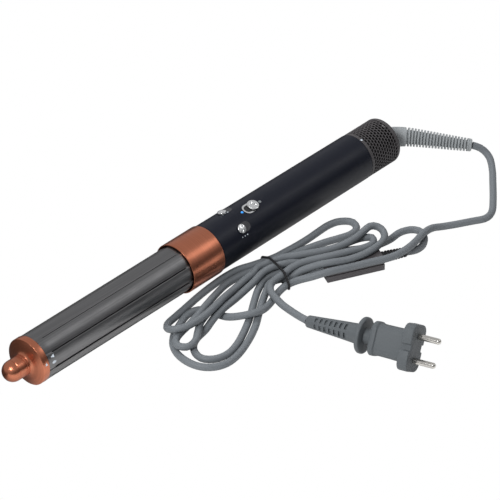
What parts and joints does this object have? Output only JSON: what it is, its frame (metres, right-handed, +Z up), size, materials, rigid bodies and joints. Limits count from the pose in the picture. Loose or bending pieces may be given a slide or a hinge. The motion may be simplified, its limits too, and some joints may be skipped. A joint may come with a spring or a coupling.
{
  "type": "curling iron",
  "caption": "Hot-air curling iron with a slotted metal barrel, copper collar and cool tip, slider controls, rear filter cage and a hanked mains cord.",
  "frame": {"origin": "on the bench under the middle of the tool's length, below the tool's axis", "axes": "+X along the tool from the cool tip to the cord end, +Z up with the power slider rolled 12.5 degrees from it towards -Y, +Y away from the tied cord"},
  "size_m": [0.4882, 0.2454, 0.0443],
  "materials": {
    "copper": "satin copper anodised metal",
    "barrel_metal": "satin dark metallic grey",
    "navy_shell": "satin dark navy",
    "cage_plastic": "moulded dark grey, perforated",
    "polished_metal": "polished",
    "steel": "plain",
    "black_plastic": "moulded",
    "seal_rubber": "matt",
    "board_green": "coated circuit board",
    "ceramic_white": "ceramic",
    "coil_wire": "resistance wire",
    "motor_copper": "wound copper on laminations",
    "led_blue": "clear blue lens",
    "relief_grey": "soft moulded light grey",
    "cord_grey": "satin grey cord",
    "plug_grey": "fine-textured moulded grey",
    "box_grey": "moulded dark grey",
    "nickel": "nickel plated"
  },
  "bodies": {
    "root": {"handle_shell": "navy_shell", "led_lens": "led_blue", "barrel_spigot": "black_plastic", "power_switch": "black_plastic", "airflow_switch": "black_plastic", "heat_switch": "black_plastic", "air_duct": "black_plastic", "heater_tube": "steel", "heater_former": "ceramic_white", "heater_coil": "coil_wire", "thermal_fuse": "steel", "control_board": "board_green", "main_board": "board_green", "motor_housing": "steel", "motor_mount": "seal_rubber", "front_bearing": "steel", "stator": "motor_copper", "rear_bearing": "steel", "motor_bulkhead": "black_plastic", "cable_stalk": "black_plastic", "rear_hub": "black_plastic", "inner_lead": "cord_grey", "strain_relief": "relief_grey", "cord_lead": "cord_grey", "cord_hank": "cord_grey", "cord_box_loop": "cord_grey", "cord_tail": "cord_grey", "cord_tie": "seal_rubber", "filter_box_base": "box_grey", "filter_box_lid": "box_grey", "filter_core": "steel", "box_relief": "box_grey", "plug_face": "plug_grey", "plug_body": "plug_grey", "plug_guard": "plug_grey", "plug_pin_upper": "nickel", "plug_pin_lower": "nickel", "plug_relief": "plug_grey"},
    "barrel": {"barrel_shell": "barrel_metal", "air_guide": "black_plastic", "tip_bush": "steel", "barrel_end_ring": "black_plastic", "barrel_collar": "copper", "latch_ring": "steel"},
    "tip": {"tip_cap": "copper", "tip_shaft": "steel", "shaft_clip": "steel", "selector_sleeve": "black_plastic"},
    "power_slider": {"power_slider": "polished_metal"},
    "airflow_slider": {"airflow_slider": "polished_metal"},
    "heat_slider": {"heat_slider": "polished_metal"},
    "filter": {"filter_cage": "cage_plastic", "bayonet_ring": "black_plastic", "filter_mesh": "steel"},
    "rotor": {"impeller": "black_plastic", "motor_shaft": "steel", "rotor_magnet": "steel"}
  },
  "joints": [
    {"name": "barrel_pull", "type": "slide", "parent": "root", "child": "barrel", "axis": [-1, 0, 0], "range_m": [0, 0.03]},
    {"name": "tip_turn", "type": "hinge", "parent": "barrel", "child": "tip", "pos_m": [-0.19, 0, 0.0214], "axis": [1, 0, 0], "range_deg": [0, 14]},
    {"name": "power_slide", "type": "slide", "parent": "root", "child": "power_slider", "axis": [-1, 0, 0], "range_m": [0, 0.008]},
    {"name": "airflow_slide", "type": "slide", "parent": "root", "child": "airflow_slider", "axis": [1, 0, 0], "range_m": [0, 0.006]},
    {"name": "heat_slide", "type": "slide", "parent": "root", "child": "heat_slider", "axis": [1, 0, 0], "range_m": [0, 0.006]},
    {"name": "filter_twist", "type": "hinge", "parent": "root", "child": "filter", "pos_m": [0.2, 0, 0.0214], "axis": [1, 0, 0], "range_deg": [0, 30]},
    {"name": "impeller_spin", "type": "hinge", "parent": "root", "child": "rotor", "pos_m": [0.14, 0, 0.0214], "axis": [1, 0, 0], "continuous": true}
  ]
}
